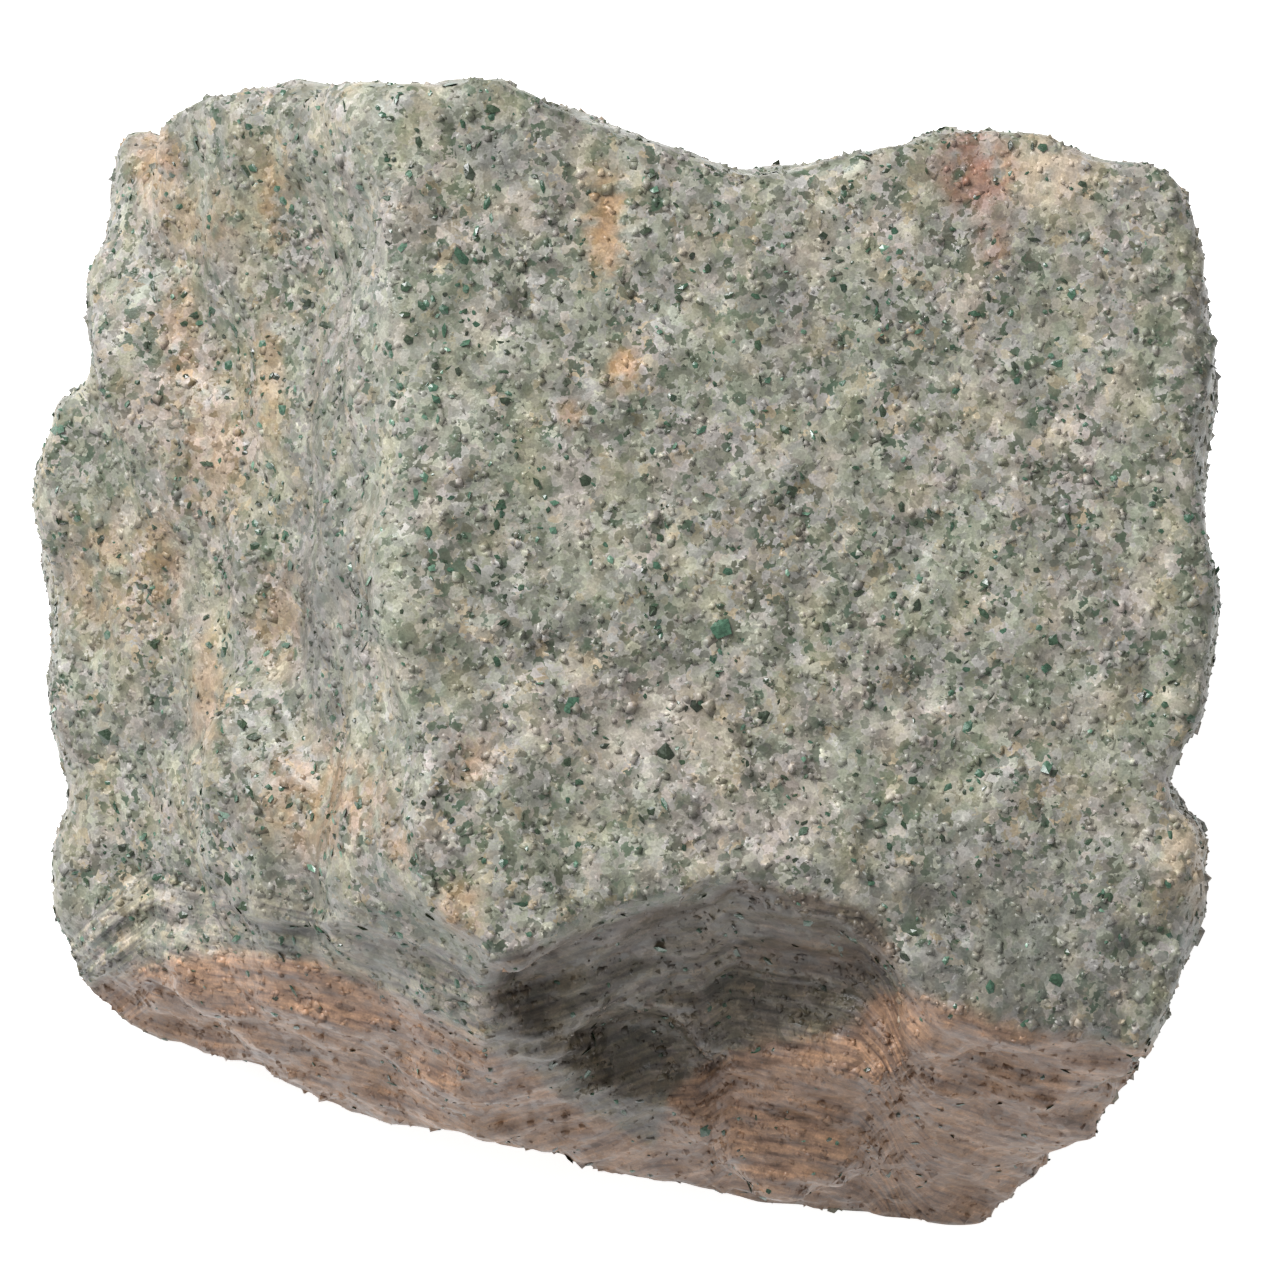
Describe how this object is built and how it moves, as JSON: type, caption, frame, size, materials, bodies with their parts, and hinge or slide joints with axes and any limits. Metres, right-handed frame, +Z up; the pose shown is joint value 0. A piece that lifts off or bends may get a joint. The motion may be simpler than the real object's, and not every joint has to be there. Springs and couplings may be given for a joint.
{
  "type": "rough quartzite rock",
  "caption": "Rough broken chunk of sugar-grained green quartzite with a flat pale face, a sloping side, a dark hollow below and a flat underside to rest on.",
  "frame": {"origin": "middle of the stone's bounding box at the level of its flat underside", "axes": "+X along the stone's longest side, to the right of the viewer who faces the hollow; +Y to the back wall; +Z up from the surface it rests on"},
  "size_m": [0.062, 0.0528, 0.0465],
  "materials": {
    "green_quartzite": "rough, sugar-grained, with small glints"
  },
  "bodies": {
    "root": {"rock": "green_quartzite"}
  },
  "joints": []
}
